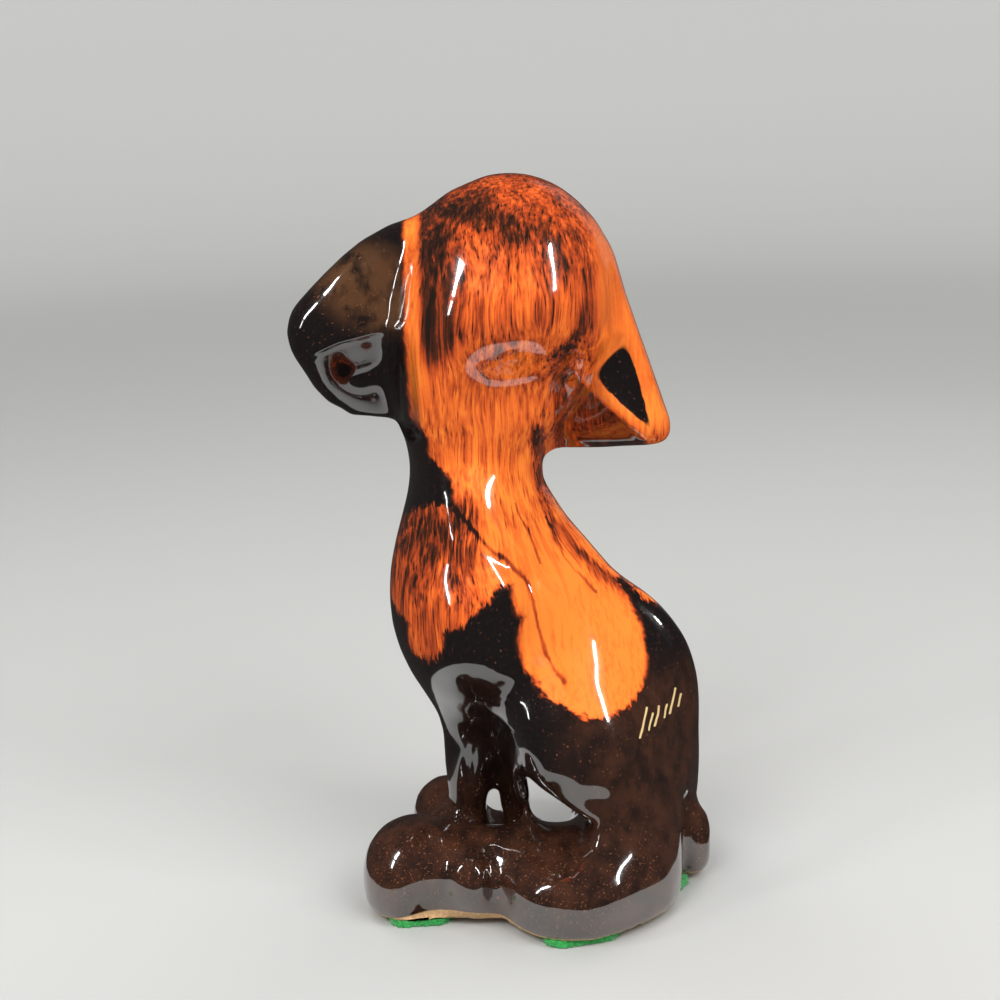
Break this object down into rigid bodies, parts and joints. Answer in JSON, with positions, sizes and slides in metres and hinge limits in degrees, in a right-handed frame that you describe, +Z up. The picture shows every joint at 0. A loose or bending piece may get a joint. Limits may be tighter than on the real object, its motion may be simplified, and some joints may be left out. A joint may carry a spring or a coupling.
{
  "type": "pottery dog figurine",
  "caption": "Sitting hound puppy with spread ears, looking back over its shoulder: hollow cast earthenware with a glossy dark and orange glaze, standing on felt pads.",
  "frame": {"origin": "on the ground under the middle of the figure's bounding box, at the underside of the felt pads", "axes": "+Z up; the dog's body faces -X with its left flank towards -Y, and its head is turned to look towards +Y"},
  "size_m": [0.098, 0.089, 0.1734],
  "materials": {
    "drip_glaze": "glossy black-brown glaze, with streaky orange overglaze on the head, neck, chest and shoulder",
    "green_felt": "matt fuzzy green felt"
  },
  "bodies": {
    "root": {"dog_figure": "drip_glaze", "felt_pad_toe": "green_felt", "felt_pad_heel": "green_felt", "felt_pad_tail": "green_felt", "felt_pad_far_haunch": "green_felt"}
  },
  "joints": []
}
